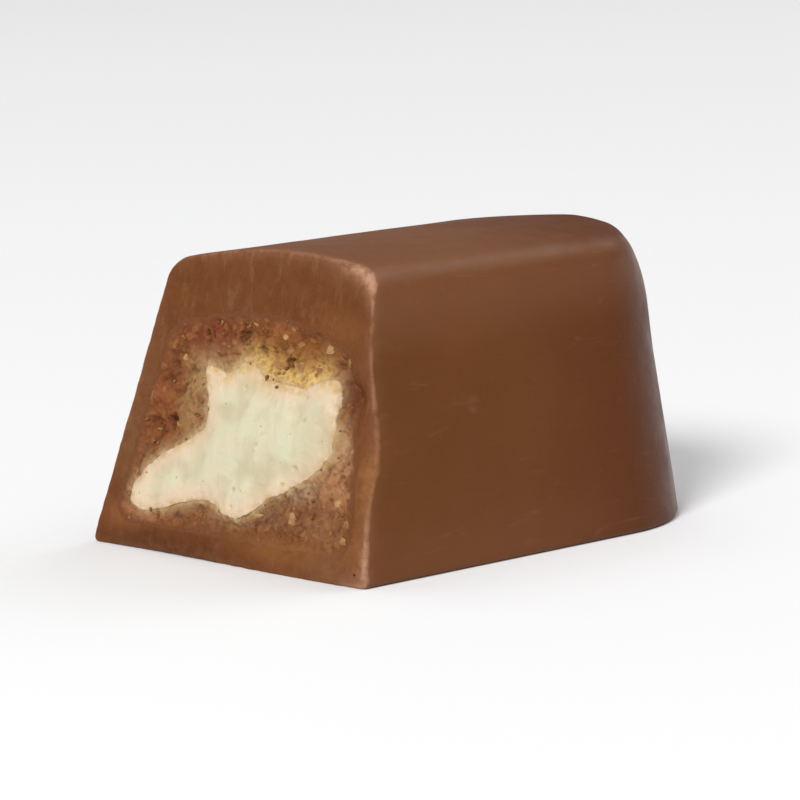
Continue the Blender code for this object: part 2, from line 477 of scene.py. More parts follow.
RIM_RADIUS = 0.11 * MM
RIM_LEAST = 0.04 * MM
RIM_WIDER = [
    # place, spread and how much wider, in millimetres: the shown side, shoulder and foot, the base, the dome
    ((9.0, 7.0), (2.2, 6.0), 0.1),
    ((6.4, 16.1), (1.9, 1.3), 0.36),
    ((9.8, 0.2), (1.2, 2.0), 0.2),
    ((-4.5, 0.0), (4.6, 0.6), 0.34),
    ((-1.5, 16.6), (6.5, 1.0), 0.1),
]
RIM_WEAR_AND_HIGHLIGHT = [
    # place, spread and how pale, partly rubbed wear and partly a painted highlight where light catches the
    # edge: the shown shoulder, foot and side, the dome, the other side
    ((6.4, 16.0), (1.9, 1.5), 1.0),
    ((9.6, 0.8), (1.4, 2.8), 0.76),
    ((8.6, 10.4), (1.8, 4.4), 0.26),
    ((-1.5, 16.6), (6.5, 0.9), 0.32),
    ((-8.4, 8.5), (1.6, 4.5), 0.25),
]
RIM_WEAR_AND_HIGHLIGHT_ALL = 0.1
RIM_SPREAD = 0.34 * MM
RIM_FACE = 0.5
RIM_TURNS = np.linspace(0.0, math.pi / 2, RIM_STEPS + 1)
EDGE_WANDER = 0.16 * MM
EDGE_SIZE = 1.1 * MM
EDGE_RADIUS = 7 * MM
KNIFE_SLANT = 0.12
GRAIN_HEIGHT = 0.022 * MM
SCAR_RAGGED = 0.1
FLAT_BASE = (0.05 * MM, 0.6 * MM)
FRONT_DEPTH = 0.6 * MM
FRONT_FADE = 0.45 * MM
# Noises of the cut: height, features' width in millimetres, layers, seed, stretch along x and z, gain
RIM_NOISE = (0.06 * MM, 0.7, 3, 11)
DRIFT_NOISE = (0.4 * MM, 4.0, 2, 31)
STREAK_NOISE = (0.024 * MM, 0.55, 3, 33, (1.0, 11.0))
STREAKED_NOISE = (1.0, 2.6, 1, 35)
WAVE_NOISE = (0.05 * MM, 2.4, 1, 37, (2.2, 1.0))
GRAIN_NOISE = (1.0, 0.5, 3, 45)
# Spots of the cut: height, how far apart in millimetres, start and top, share left bare, seed
NICKS = (0.14 * MM, 1.5, 0.34, 0.08, 0.6, 13)
SCARS = (0.07 * MM, 1.2, 0.36, 0.12, 0.72, 47)
# Waves of the moulded skin: width and height in millimetres, seed
SKIN_WAVES = [(6.5, 0.035, 41), (1.4, 0.006, 43)]


def rim_radius(x, z):
    """How far the cut's edge is rounded off, with small nicks."""
    radius = RIM_RADIUS + cut_noise(x, z, *RIM_NOISE) + summed(x, z, RIM_WIDER) * MM
    return np.maximum(radius, RIM_LEAST) + cut_spots(x, z, *NICKS)


def rim_wear_and_highlight(x, z, away=0.0):
    """How pale the cut's edge is, partly rubbed wear and partly a painted highlight, from 0 to 1, fading with
    the distance away from it.
    """
    return np.clip(RIM_WEAR_AND_HIGHLIGHT_ALL + summed(x, z, RIM_WEAR_AND_HIGHLIGHT), 0.0, 1.0) * np.exp(-away / RIM_SPREAD)


def edge_wander(turns):
    """How far the line between shell and filling strays at each turn."""
    round_walk = columns(np.cos(turns), np.sin(turns), np.zeros_like(turns)) * EDGE_RADIUS
    return EDGE_WANDER * layered_noise(round_walk / EDGE_SIZE, 3, 23)


def pocket_loop(turns, depth, wander=1.0, grow=0.0):
    """Points round the filling's pocket at each turn about SECTION_MIDDLE."""
    reach = INSIDE.reach(turns, depth) + grow + wander * edge_wander(turns)
    x, z = around(SECTION_MIDDLE, turns, reach)
    return columns(x, depth_y(INSIDE, x, z, depth), z)


def ring_shares(count, easing=1.0):
    """Shares of the way inwards, for nested rings; easing brings the first ones closer."""
    return np.linspace(0.0, 1.0, count + 1)[:, None, None] ** easing


def side_shares():
    """Places along a side's straight, from 0 at the cut to 1, closer at the cut."""
    places, step = [0.0], FIRST_STEP
    while places[-1] < STRAIGHT_RUN:
        places.append(places[-1] + step)
        step = min(step * STEP_GROWTH, SKIN_STEP)
    return np.array(places) / places[-1]


def outer_rows(z):
    """Points round the outside at each height, from the right of the cut to its left."""
    end, (across, along) = OUTSIDE.end_y(z), OUTSIDE.corner(z)
    sides, reaches = {}, {}
    for side in (1, -1):
        x = side * OUTSIDE.side(z, side)
        front = cut_y(x, z) + rim_radius(x, z)
        straight = front[:, None] + (end - along - front)[:, None] * side_shares()
        straight = columns(np.broadcast_to(x[:, None], straight.shape), straight)
        turn = np.linspace(0.0, math.pi / 2, ARC_STEPS + 1)[1:]
        reaches[side] = x - side * across
        arc_x = reaches[side][:, None] + side * across[:, None] * np.cos(turn)
        arc_y = (end - along)[:, None] + along[:, None] * np.sin(turn)
        sides[side] = np.concatenate([straight, columns(arc_x, arc_y)], 1)
    shares = np.linspace(0.0, 1.0, END_STEPS + 1)[1:-1]
    end_x = reaches[1][:, None] + (reaches[-1] - reaches[1])[:, None] * shares
    end_row = columns(end_x, np.broadcast_to(end[:, None], end_x.shape))
    plan = np.concatenate([sides[1], end_row, sides[-1][:, ::-1]], 1)
    return np.concatenate([plan, np.broadcast_to(z[:, None, None], plan.shape[:2] + (1,))], 2)


def cut_outline(z):
    """The outside's outline on the cut, as x and z: up the right, down the left, back along the base."""
    right, left = OUTSIDE.side(z, 1), -OUTSIDE.side(z, -1)
    base_x = np.linspace(left[0], right[0], round((right[0] - left[0]) / SECTION_STEP) + 1)[1:-1]
    x = np.concatenate([right, left[::-1], base_x])
    return x, np.concatenate([z, z[::-1], np.zeros_like(base_x)])


def rim_rows(x, height):
    """The rounded edge of the cut, in rows of points from the outside to the cut."""
    tangent = columns(np.roll(x, -1) - np.roll(x, 1), np.roll(height, -1) - np.roll(height, 1))
    tangent /= np.linalg.norm(tangent, axis=1, keepdims=True)
    radius = rim_radius(x, height)
    rows = []
    for turn in RIM_TURNS:
        inward = radius * (1 - math.cos(turn))
        rim_x, rim_z = x - tangent[:, 1] * inward, height + tangent[:, 0] * inward
        sunk = cut_y(x, height) + (cut_y(rim_x, rim_z) - cut_y(x, height)) * math.sin(turn)
        rows.append(columns(rim_x, sunk + radius * (1 - math.sin(turn)), rim_z))
    return rows


def shell_mesh():
    """The moulded skin, the crown's closing strip, the rim, the base, the cut face and the pocket."""
    skin = Skin("cut", "rim")
    z = OUTSIDE.heights(SECTION_STEP)
    rows = outer_rows(z)
    behind = rows[..., 1] - cut_y(*flat(rows))
    skin.grid(rows, rim=RIM_FACE * rim_wear_and_highlight(*flat(rows), behind))
    crown = rows[-1]
    half_row = len(crown) // 2
    skin.grid(np.stack([crown[:half_row], crown[::-1][:half_row]]))

    x, height = cut_outline(z)
    rim = rim_rows(x, height)
    # the rim mask: pale wear and a painted highlight, strongest midway round the rounding
    pale = np.outer(RIM_FACE + (1 - RIM_FACE) * np.sin(2 * RIM_TURNS), rim_wear_and_highlight(x, height))
    skin.grid(rim, wrap=True, cut=np.repeat(np.sin(RIM_TURNS), len(x)), rim=pale)

    base = np.vstack([rows[0], rim[0][2 * len(z) :]])
    middle = base.mean(axis=0)
    nested = base + (middle - base) * ring_shares(BASE_RINGS)[:-1]
    skin.grid(nested, wrap=True)
    skin.fan(nested[-1], middle)

    face = rim[-1]
    turns = bearing(SECTION_MIDDLE, *flat(face))
    front = face + (pocket_loop(turns, 0.0) - face) * ring_shares(SHELL_RINGS, SHELL_EASING)
    front[..., 1] = cut_y(*flat(front))
    away = distance_to_edge(*flat(front), columns(*flat(face)))
    skin.grid(front, wrap=True, cut=1.0, rim=RIM_FACE * rim_wear_and_highlight(*flat(front), away))

    loops = [front[-1]] + [pocket_loop(turns, depth, wander=1 - depth) for depth in POCKET_DEPTHS]
    skin.grid(loops, wrap=True, cut=1.0)
    skin.fan(loops[-1], loops[-1].mean(axis=0), cut=1.0)
    return skin.weld("moulded_shell")


def knife_marks(x, z):
    """Drag marks of the blade, which came down from the top: faint streaks and long waves."""
    across = x + KNIFE_SLANT * z + cut_noise(x, z, *DRIFT_NOISE)
    strength = smooth_step(-0.3, 0.7, cut_noise(x, z, *STREAKED_NOISE))
    return cut_noise(across, z, *STREAK_NOISE) * strength + cut_noise(x, z, *WAVE_NOISE)


def shell_relief(mesh):
    """Soft waves on the moulded skin; grain, scars and knife marks on the cut."""
    points, normals, cut = points_of(mesh), normals_of(mesh), mask_of(mesh, "cut")
    x, z = flat(points)
    swell = 0.0
    for size, height, seed in SKIN_WAVES:
        swell = swell + height * MM * layered_noise(points / (size * MM), 2, seed)
    moved = points + normals * (swell * (1 - cut) * smooth_step(*FLAT_BASE, z))[:, None]
    front = cut * (points[:, 1] < cut_y(x, z) + FRONT_DEPTH)
    front *= smooth_step(OVERLAP, FRONT_FADE, distance_to_edge(x, z, POCKET_EDGE))
    grain = cut_noise(x, z, *GRAIN_NOISE)
    scars = cut_spots(x, z, *SCARS, ragged=SCAR_RAGGED * grain)
    moved[:, 1] += front * (GRAIN_HEIGHT * grain + scars - knife_marks(x, z))
    move_points(mesh, moved)


# ---- the cream's outline

BLUNT_TURN = math.radians(4)
BLUNT_SAMPLES = 7
TORN_NOISE = (0.17 * MM, 1.3, 5, 53, (1.0, 1.0), 0.62)
EDGE_BATCHES = 64


def cream_curve():
    """The lobed outline through CREAM_OUTLINE as a smooth closed curve of points."""
    corners = np.array(CREAM_OUTLINE) * MM
    before, after, later = (np.roll(corners, shift, 0) for shift in (1, -1, -2))
    steps = CREAM_CURVE_POINTS // len(corners)
    share = np.linspace(0.0, 1.0, steps, endpoint=False)[:, None, None]
    leave, arrive = (after - before) / 2, (later - corners) / 2
    hermite = (
        (2 * share**3 - 3 * share**2 + 1) * corners
        + (share**3 - 2 * share**2 + share) * leave
        + (3 * share**2 - 2 * share**3) * after
        + (share**3 - share**2) * arrive
    )
    return hermite.transpose(1, 0, 2).reshape(-1, 2)


def cream_reach(turns):
    """How far the cream reaches from CREAM_MIDDLE at each turn, with a torn edge."""
    away = cream_curve() - CREAM_MIDDLE
    angle = bearing((0.0, 0.0), *away.T)
    order = np.argsort(angle)
    sharp = [
        reach_at(turns + shift, angle[order], np.hypot(*away[order].T))
        for shift in np.linspace(-BLUNT_TURN, BLUNT_TURN, BLUNT_SAMPLES)
    ]
    reach = np.mean(sharp, axis=0)
    return reach + cut_noise(*around((0.0, 0.0), turns, reach), *TORN_NOISE)


def reach_at(turns, known_turns, reaches):
    """Reaches that are known at some turns, read off at others."""
    return np.interp(turns, known_turns, reaches, period=2 * math.pi)


def distance_to_edge(x, z, edge):
    """How far each point of the cut is from the nearest point of edge, a closed line of points."""
    batches = np.array_split(columns(np.ravel(x), np.ravel(z)), EDGE_BATCHES)
    found = [np.sqrt(((some[:, None] - edge) ** 2).sum(-1).min(1)) for some in batches]
    return np.concatenate(found).reshape(np.shape(x))


def pocket_reach(turns):
    """How far the filling reaches on the cut, from CREAM_MIDDLE at each turn."""

    def inside(reach):
        x, z = around(CREAM_MIDDLE, turns, reach)
        seen = bearing(SECTION_MIDDLE, x, z)
        away = np.hypot(x - SECTION_MIDDLE[0], z - SECTION_MIDDLE[1])
        return away < INSIDE.reach(seen, 0.0) + edge_wander(seen)

    return farthest(inside, turns)


def round_cream(reach):
    """Points (x, z) of the cut at a reach from CREAM_MIDDLE, one for each of TURNS."""
    return columns(*around(CREAM_MIDDLE, TURNS, reach))


TURNS = np.linspace(-math.pi, math.pi, FILLING_RAYS, endpoint=False)
CREAM_REACH = cream_reach(TURNS)
POCKET_REACH = pocket_reach(TURNS)
CREAM_EDGE = round_cream(CREAM_REACH)
POCKET_EDGE = round_cream(POCKET_REACH)
CREAM_BACK = (CREAM_MIDDLE[0], CREAM_END, CREAM_MIDDLE[1])


def cream_loop(depth, grow):
    """The cream's outline at a share of the way back, drawn in as it goes."""
    x, z = around(CREAM_MIDDLE, TURNS, CREAM_REACH * (1 - CREAM_TAPER * depth) + grow)
    front = cut_y(x, z)
    return columns(x, front + depth * (CREAM_END - front), z)


# ---- the filling

CREAM_INSET = 0.12 * MM
LAP_LIFT = 0.014 * MM
LAP_START = 0.3 * MM
EDGE_FADE = 0.8 * MM
CREAM_SIDE_FASTER = 1.5
# The broken praline's relief, in millimetres, noted as the shell's cut is
BOLD_NOISE = (1.0, 2.6, 1, 61)
BOLD_LEAST = 0.45
LUMP_SIZE = 0.72
LUMP_SEED = 63
LUMP_HEIGHT = 0.28
BEND_NOISE = (0.35, 0.5, 1, 62)
FINE_SIZE = 0.3
FINE_SEED = 65
FINE_HEIGHT = 0.14
ROUGH_NOISE = (1.0, 0.3, 3, 67)
ROUGH_HEIGHT = 0.06
HOLES = (0.36, 1.5, 0.38, 0.12, 0.6, 69)
HOLE_RAGGED = 0.12
HOLES_FROM_CREAM = (0.4, 1.1)
# Places and widths of the filling's tints, in millimetres
GOLDEN_AT = (2.4, 11.0)
GOLDEN_BOLD = (3.6, 1.6)
GOLDEN_ABOVE = (9.0, 10.2)
GOLDEN_LEFT = (-2.8, 1.0)
GOLDEN_RIGHT = (6.1, 4.4)
FILM_WIDTH = 0.34
FILM_TIP = ((-2.9, 10.6), (1.9, 1.5))
FILM_TIP_WIDER = 0.24
FILM_PIT = ((6.8, 9.6), (1.2, 1.3))
FILM_PIT_LESS = 0.85


def off_the_edges(x, z):
    """From 0 at the filling's edges, level with its neighbours, to 1 away from them."""
    from_cream = distance_to_edge(x, z, CREAM_EDGE)
    from_shell = distance_to_edge(x, z, POCKET_EDGE)
    return smooth_step(0.0, EDGE_FADE, np.minimum(CREAM_SIDE_FASTER * from_cream, from_shell))


def filling_y(x, z):
    """The cut filling without its fine grain, lifted a little where it laps over the shell's edge."""
    lap = smooth_step(LAP_START, OVERLAP, distance_to_edge(x, z, POCKET_EDGE))
    return cut_y(x, z) + off_the_edges(x, z) * (FILLING_RECESS + crumb(x, z)) - LAP_LIFT * lap


def filling_grain(x, z, from_cream):
    """The broken praline's relief, in millimetres: lumps, packed grains, and holes they left."""
    bold = BOLD_LEAST + (1 - BOLD_LEAST) * smooth_step(-0.5, 0.5, cut_noise(x, z, *BOLD_NOISE))
    bold = np.maximum(bold, patch(x, z, GOLDEN_AT, GOLDEN_BOLD))
    bent = flat_points(x, z, LUMP_SIZE) + cut_noise(x, z, *BEND_NOISE)[..., None]
    near, own = cell_noise(bent, LUMP_SEED)
    lumps = (0.5 - near) * (0.4 + 1.1 * own)
    fine, _ = cell_noise(flat_points(x, z, FINE_SIZE), FINE_SEED)
    rough = cut_noise(x, z, *ROUGH_NOISE)
    grain = LUMP_HEIGHT * lumps + FINE_HEIGHT * (0.45 - fine) + ROUGH_HEIGHT * rough
    holes = cut_spots(x, z, *HOLES, ragged=HOLE_RAGGED * rough) * smooth_step(*HOLES_FROM_CREAM, from_cream)
    return bold * grain - holes


def filling_mesh():
    """The cut face from the shell to the cream, the filling's outside, and the cream's hollow."""
    skin = Skin("front")
    outer = round_cream(POCKET_REACH + OVERLAP)
    inner = round_cream(CREAM_REACH - CREAM_INSET)
    x, z = np.moveaxis(outer + (inner - outer) * ring_shares(FILLING_RINGS), -1, 0)
    front = columns(x, filling_y(x, z), z)
    skin.grid(front, wrap=True, front=1.0)

    turns = bearing(SECTION_MIDDLE, *flat(front[0]))
    back = [front[0]] + [pocket_loop(turns, depth, 1 - depth, OVERLAP) for depth in POCKET_DEPTHS]
    skin.grid(back, wrap=True)
    skin.fan(back[-1], back[-1].mean(axis=0))

    hollow = [front[-1]] + [cream_loop(depth, -CREAM_INSET) for depth in CREAM_DEPTHS]
    skin.grid(hollow, wrap=True)
    skin.fan(hollow[-1], CREAM_BACK)
    return skin.weld("praline_body")


def filling_relief(mesh):
    """The crumb's fine relief, and the masks that the filling's tints and painted shade follow."""
    points, front = points_of(mesh), mask_of(mesh, "front")
    x, z = flat(points)
    from_cream = distance_to_edge(x, z, CREAM_EDGE) / MM
    from_shell = distance_to_edge(x, z, POCKET_EDGE) / MM
    free = smooth_step(0.05, 0.6, from_shell) * (0.3 + 0.7 * smooth_step(0.0, 0.5, from_cream))
    grain = free * filling_grain(x, z, from_cream)
    points[:, 1] -= front * grain * MM
    move_points(mesh, points)
    # where the grain dips, for painted shade in the hollows
    set_mask(mesh, "hollow", smooth_step(-0.01, -0.16, grain))
    set_mask(mesh, "raised", smooth_step(0.03, 0.16, grain))
    set_mask(mesh, "from_shell", from_shell)
    above = smooth_step(*GOLDEN_ABOVE, z / MM)
    above *= smooth_step(*GOLDEN_LEFT, x / MM) * smooth_step(*GOLDEN_RIGHT, x / MM)
    set_mask(mesh, "golden", np.exp(-(from_cream**2)) * above)
    film = np.exp(-from_cream / (FILM_WIDTH + FILM_TIP_WIDER * patch(x, z, *FILM_TIP)))
    set_mask(mesh, "film", film * (1 - FILM_PIT_LESS * patch(x, z, *FILM_PIT)))


# ---- the cream

CREAM_EDGE_ROUND = 0.1 * MM
CREAM_RISE = 0.06 * MM
CREAM_SETTLE = 1.5 * MM
CREAM_SETTLED = 0.2
LIP_NOISE = (0.07 * MM, 1.7, 1, 77)
LIP_FADE = (1.1 * MM, 0.2 * MM)
HUB_INSIDE = 3.0
# The cream's relief, in millimetres, noted as the shell's cut is
DRAG_NOISE = (0.035, 0.8, 3, 71, (1.0, 5.0))
FOLD_NOISE = (0.15, 2.1, 3, 73)
CREASE_NOISE = (3.0, 2.6, 1, 74, (1.0, 1.6))
CREASE_DEPTH = 0.06
PORES = (0.11, 0.75, 0.24, 0.08, 0.6, 75)
GILDED_WIDTH = 0.7
GILDED_ABOVE = (8.9, 10.3)


def cream_y(x, z, away=CREAM_SETTLE):
    """The cream's swelling cut face, which settles towards its edge, at the distance away."""
    swell = CREAM_SETTLED + (1 - CREAM_SETTLED) * smooth_step(0.0, CREAM_SETTLE, away)
    return cut_y(x, z) - CREAM_RISE - swell * SWELL_HEIGHT * bell(x, z, SWELL_AT, SWELL_SPREAD)


def cream_mesh():
    """The cut face with its rounded edge and wandering lip, and the cream's outside."""
    skin = Skin("front", "inside")
    edge = cream_loop(0.0, 0.0)
    middle = np.array([CREAM_MIDDLE[0], 0.0, CREAM_MIDDLE[1]])
    front = edge + (middle - edge) * ring_shares(CREAM_RINGS, CREAM_EASING)[:-1]
    x, z = flat(front)
    away = distance_to_edge(x, z, CREAM_EDGE)
    lip = cut_noise(x, z, *LIP_NOISE) * smooth_step(*LIP_FADE, away)
    front[..., 1] = cream_y(x, z, away) - lip + CREAM_EDGE_ROUND * rounding(1 - away / CREAM_EDGE_ROUND)
    skin.grid(front, wrap=True, front=1.0, inside=away / MM)
    middle[1] = cream_y(middle[0], middle[2])
    skin.fan(front[-1], middle, front=1.0, inside=HUB_INSIDE)

    tube = [front[0]] + [cream_loop(depth, 0.0) for depth in CREAM_DEPTHS]
    skin.grid(tube, wrap=True)
    skin.fan(tube[-1], CREAM_BACK)
    return skin.weld("cream_heart")


def cream_relief(mesh):
    """Drag marks, soft folds, creases and pores, and the masks that the cream's tints and painted shade
    follow.
    """
    points, front, inside = points_of(mesh), mask_of(mesh, "front"), mask_of(mesh, "inside")
    x, z = flat(points)
    height = cut_noise(x + KNIFE_SLANT * z, z, *DRAG_NOISE) + cut_noise(x, z, *FOLD_NOISE)
    creases = np.clip(1 - np.abs(cut_noise(x, z, *CREASE_NOISE)), 0.0, 1.0)
    height -= CREASE_DEPTH * creases + cut_spots(x, z, *PORES)
    points[:, 1] -= front * height * MM
    move_points(mesh, points)
    # where the relief dips, for painted shade in creases and pores
    set_mask(mesh, "hollow", smooth_step(0.0, -0.14, height))
    set_mask(mesh, "gilded", np.exp(-((inside / GILDED_WIDTH) ** 2)) * smooth_step(*GILDED_ABOVE, z / MM))


# ---- nut pieces and crumbs

CHIP_PLANES = 9
CHIP_PLANES_AT = (0.55, 1.0)
CHIP_REACH = 1.15
CHIP_STRETCH = (0.7, 1.25)
CHIP_LEVEL = (0.4, 1.0)
TRIES = 4000
# Where nuts and crumbs are strewn: half the width, lowest, highest, clear of the edges, in millimetres
NUT_FIELD = (8.2, 1.5, 13.2, 0.25)
CRUMB_FIELD = (8.6, 1.4, 13.4, 0.15)
NUT_SIZES = (0.25, 0.8)
NUT_GAP = 0.55
NUTS_THICKER = (3.4, 1.3)
NUTS_ELSEWHERE = 0.1
LIGHT_NUTS = [((5.1, 12.0), 0.9), ((7.0, 4.2), 0.75), ((8.0, 2.3), 0.55)]
CRUMB_SIZES = (0.1, 0.26)
CRUMBS_BY_CREAM = (0.1, 0.35)


def splinter(rng, size, sphere):
    """A many-sided chip about size across: a sphere's points drawn in to a few random planes."""
    planes = rng.normal(size=(CHIP_PLANES, 3))
    planes /= np.linalg.norm(planes, axis=1, keepdims=True)
    offsets = rng.uniform(*CHIP_PLANES_AT, CHIP_PLANES)
    reach = np.maximum(sphere @ planes.T, 1e-3)
    radius = np.minimum(np.min(offsets / reach, axis=1), CHIP_REACH)
    stretch = rng.uniform(*CHIP_STRETCH, 3)
    return sphere * radius[:, None] * stretch * size / 2


def unit_sphere(subdivisions):
    bm = bmesh.new()
    bmesh.ops.create_icosphere(bm, subdivisions=subdivisions, radius=1.0)
    points = np.array([vert.co[:] for vert in bm.verts])
    faces = [[vert.index for vert in face.verts] for face in bm.faces]
    bm.free()
    return points, faces


def chips_mesh(name, seed, places, sizes, proud, sunk, subdivisions):
    """Chips in the cut at places, rows of (x, z), each cut off at about proud above the surface."""
    rng = np.random.default_rng(seed)
    sphere, faces = unit_sphere(subdivisions)
    points, joined, tones = [], [], []
    for number, ((x, z), size) in enumerate(zip(places, sizes)):
        chip = splinter(rng, size, sphere)
        chip += (x, 0.0, z)
        surface = filling_y(*flat(chip))
        chip[:, 1] += filling_y(np.array([x]), np.array([z]))[0] + sunk * size
        chip[:, 1] = np.maximum(chip[:, 1], surface - proud * rng.uniform(*CHIP_LEVEL))
        points.append(chip)
        joined += [[corner + number * len(sphere) for corner in face] for face in faces]
        tones.append(np.full(len(sphere), rng.uniform()))
    mesh = bpy.data.meshes.new(name)
    mesh.from_pydata(np.vstack(points).tolist(), [], joined)
    set_mask(mesh, "tone", np.concatenate(tones))
    mesh.shade_smooth()
    mesh.set_sharp_from_angle(angle=CHIP_SHARP_ANGLE)
    return mesh


def in_filling(x, z, margin):
    """Whether points of the cut lie in the filling, margin clear of the cream and of the shell."""
    away = np.hypot(x - CREAM_MIDDLE[0], z - CREAM_MIDDLE[1])
    seen = bearing(CREAM_MIDDLE, x, z)
    low, high = (reach_at(seen, TURNS, reaches) for reaches in (CREAM_REACH, POCKET_REACH))
    edges = np.vstack([CREAM_EDGE, POCKET_EDGE])
    return (away > low) & (away < high) & (distance_to_edge(x, z, edges) > margin)


def strewn(rng, half_width, low, high, margin):
    """Places strewn over the cut, x and z, and whether each lies in the filling."""
    x = rng.uniform(-half_width, half_width, TRIES) * MM
    z = rng.uniform(low, high, TRIES) * MM
    return x, z, in_filling(x, z, margin * MM)


def nut_places(seed, count):
    """Scattered places in the filling, thicker on the ground above the cream, with their sizes."""
    rng = np.random.default_rng(seed)
    x, z, held = strewn(rng, *NUT_FIELD)
    wanted = NUTS_ELSEWHERE + (1 - NUTS_ELSEWHERE) * patch(x, z, GOLDEN_AT, NUTS_THICKER)
    keep = held & (rng.uniform(size=TRIES) < wanted)
    places = [np.array(centre) * MM for centre, _ in LIGHT_NUTS]
    sizes = [size * MM for _, size in LIGHT_NUTS]
    for place in columns(x[keep], z[keep]):
        size = rng.uniform(*NUT_SIZES) * MM
        gaps = [np.hypot(*(place - other)) - (size + was) * NUT_GAP for other, was in zip(places, sizes)]
        if min(gaps) > 0 and len(places) < count:
            places.append(place)
            sizes.append(size)
    return places, sizes


def crumb_places(seed, count):
    """Loose crumbs: a quarter of them near the cream's edge, the others anywhere on the filling."""
    rng = np.random.default_rng(seed)
    turns = rng.uniform(-math.pi, math.pi, count // 4)
    reach = reach_at(turns, TURNS, CREAM_REACH) + rng.normal(*CRUMBS_BY_CREAM, len(turns)) * MM
    along = columns(*around(CREAM_MIDDLE, turns, reach))
    x, z, keep = strewn(rng, *CRUMB_FIELD)
    places = np.vstack([along, columns(x[keep], z[keep])[: count - len(along)]])
    return places, rng.uniform(*CRUMB_SIZES, len(places)) * MM


# ---- materials


class Paint:
    """Builds one material from nodes; sizes and places are in the piece's own millimetres."""

    BELL_CORE = 0.2
    BELL_REACH = 1.5
    MIX_COLOURS = (6, 7)
    MIXED_COLOUR = 2

    def __init__(self, name, specular, soft=0.0, radius=(1.0, 1.0, 1.0), depth=1.0):
        """soft is the share of light that goes under the surface, for each colour depth times radius deep."""
        self.material = bpy.data.materials.new(name)
        self.material.use_nodes = True
        self.tree = self.material.node_tree
        self.shader = self.tree.nodes["Principled BSDF"].inputs
        self.shader["Specular IOR Level"].default_value = specular
        self.shader["Subsurface Weight"].default_value = soft
        self.shader["Subsurface Radius"].default_value = radius
        self.shader["Subsurface Scale"].default_value = depth * MM
        self.place = self.scaled(self.node("TexCoord", {})["Object"], (1 / MM, 1 / MM, 1 / MM))

    def feed(self, sockets, values):
        """Sets sockets, by name or number, to values or links them; None leaves one as it is."""
        for name, value in values.items():
            if isinstance(value, bpy.types.NodeSocket):
                self.tree.links.new(value, sockets[name])
            elif value is not None:
                sockets[name].default_value = value

    def node(self, kind, inputs, **settings):
        """The outputs of a new shader node."""
        made = self.tree.nodes.new("ShaderNode" + kind)
        for name, value in settings.items():
            setattr(made, name, value)
        self.feed(made.inputs, inputs)
        return made.outputs

    def scaled(self, vector, factors):
        return self.node("VectorMath", {0: vector, 1: factors}, operation="MULTIPLY")[0]

    def noise(self, size, detail=5.0, roughness=0.7, stretch=(1.0, 1.0, 1.0), distortion=0.0):
        inputs = {
            "Vector": self.scaled(self.place, tuple(1 / s for s in stretch)),
            "Scale": 1 / size,
            "Detail": detail,
            "Roughness": roughness,
            "Distortion": distortion,
        }
        return self.node("TexNoise", inputs)["Fac"]

    def cells(self, size, output="Distance"):
        return self.node("TexVoronoi", {"Vector": self.place, "Scale": 1 / size})[output]

    def mask(self, name):
        return self.node("Attribute", {}, attribute_name=name)["Fac"]

    def joined(self, operation, first, *others):
        for other in others:
            first = self.node("Math", {0: first, 1: other}, operation=operation)[0]
        return first

    def product(self, *values):
        return self.joined("MULTIPLY", *values)

    def total(self, *values):
        return self.joined("ADD", *values)

    def highest(self, *values):
        return self.joined("MAXIMUM", *values)

    def between(self, value, low, high, start=0.0, end=1.0):
        """value mapped smoothly from low..high to start..end."""
        inputs = dict(enumerate((value, low, high, start, end)))
        return self.node("MapRange", inputs, interpolation_type="SMOOTHSTEP")["Result"]

    def along(self, axis, low, high, start, end):
        """From start to end between two places along an axis."""
        return self.between(self.node("SeparateXYZ", {0: self.place})[axis], low, high, start, end)

    def patches(self, size, low=0.3, high=0.7, start=0.0, end=1.0, **noise):
        """Noise mapped from low..high to start..end."""
        return self.between(self.noise(size, **noise), low, high, start, end)

    def dots(self, size, core, edge, inside, outside=0.0):
        """Small dots, about size apart: one value within core of their middles, another past edge."""
        return self.between(self.cells(size), core, edge, inside, outside)

    def bell(self, centre, spread):
        """From 0 to 1 towards a place on the cut, (x, z)."""
        middle = (centre[0], 0.0, centre[1])
        away = self.node("VectorMath", {0: self.place, 1: middle}, operation="SUBTRACT")[0]
        away = self.scaled(away, (1 / spread[0], 0.0, 1 / spread[1]))
        length = self.node("VectorMath", {0: away}, operation="LENGTH")["Value"]
        return self.between(length, self.BELL_CORE, self.BELL_REACH, 1.0, 0.0)

    def mix(self, under, over, *shares):
        """The colour over laid on the colour under, by the product of the shares."""
        shades = [(*shade, 1.0) if isinstance(shade, tuple) else shade for shade in (under, over)]
        inputs = {"Factor": self.product(*shares), **dict(zip(self.MIX_COLOURS, shades))}
        return self.node("Mix", inputs, data_type="RGBA")[self.MIXED_COLOUR]

    def bump(self, height, distance, strength=1.0, under=None):
        inputs = {"Strength": strength, "Distance": distance * MM, "Height": height, "Normal": under}
        return self.node("Bump", inputs)["Normal"]

    def finish(self, colour, roughness, normal):
        self.feed(self.shader, {"Base Color": colour, "Roughness": roughness, "Normal": normal})
        return self.material


CHOCOLATE_OUT = (0.139, 0.0445, 0.0085)
CHOCOLATE_OUT_DEEP = (0.126, 0.0390, 0.0065)
# paler chocolate used as painted light: floor bounce on the foot and a highlight on the shoulders
CHOCOLATE_OUT_PAINTED_LIGHT = (0.160, 0.0585, 0.0205)
# darker chocolate used as painted shade towards the far end
CHOCOLATE_OUT_FAR_SHADE = (0.082, 0.0170, 0.0008)
CHOCOLATE_CUT = (0.132, 0.0415, 0.009)
CHOCOLATE_CUT_DEEP = (0.114, 0.0325, 0.006)
CHOCOLATE_CUT_WARM = (0.19, 0.068, 0.015)
CHOCOLATE_SPECK = (0.07, 0.018, 0.0015)
# pale rubbed chocolate for scuffs and drag marks, also laid on the cut's rim as a painted highlight
CHOCOLATE_WEAR_AND_HIGHLIGHT = (0.43, 0.23, 0.14)
